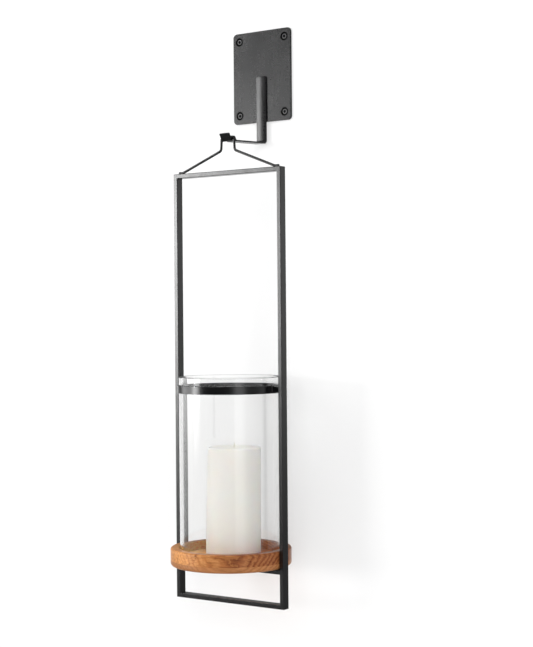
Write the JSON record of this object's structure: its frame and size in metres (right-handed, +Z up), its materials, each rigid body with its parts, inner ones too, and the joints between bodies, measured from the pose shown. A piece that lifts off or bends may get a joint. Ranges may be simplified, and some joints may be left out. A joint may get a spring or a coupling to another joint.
{
  "type": "wall sconce candle holder",
  "caption": "Wall bracket with a hooked strap; a tall flat-bar frame hangs from it by a rod bail and holds a turned wood tray, an open glass cylinder in a band ring and a pillar candle.",
  "frame": {"origin": "centre of the wall plate's back face, on the wall", "axes": "+Y into the wall, +Z up, +X to the right seen from the front; the lantern hangs in front at -Y"},
  "size_m": [0.1864, 0.2044, 0.821],
  "materials": {
    "iron": "satin",
    "screw": "satin",
    "wood": "satin lacquer",
    "glass": "clear gloss",
    "wax": "matte wax",
    "cotton": "braided cotton"
  },
  "bodies": {
    "bracket": {"wall_plate": "iron", "hook_strap": "iron", "wall_screws": "screw"},
    "lantern": {"bail": "iron", "frame_top_bar": "iron", "frame_bottom_bar": "iron", "frame_left_bar": "iron", "frame_right_bar": "iron", "tray_crossbar": "iron", "tray_screws": "screw", "tray": "wood", "glass_ring": "iron", "ring_lug_left": "iron", "ring_lug_right": "iron"},
    "glass": {"hurricane_glass": "glass"},
    "candle": {"candle": "wax", "wick": "cotton"}
  },
  "joints": [
    {"name": "lantern_swing", "type": "hinge", "parent": "bracket", "child": "lantern", "pos_m": [0, -0.088, -0.0981], "axis": [-1, 0, 0], "range_deg": [-0.24, 30]},
    {"name": "glass_lift", "type": "slide", "parent": "lantern", "child": "glass", "axis": [0, 0, 1], "range_m": [0, 0.245]},
    {"name": "candle_lift", "type": "slide", "parent": "lantern", "child": "candle", "axis": [0, 0, 1], "range_m": [0, 0.262]}
  ]
}
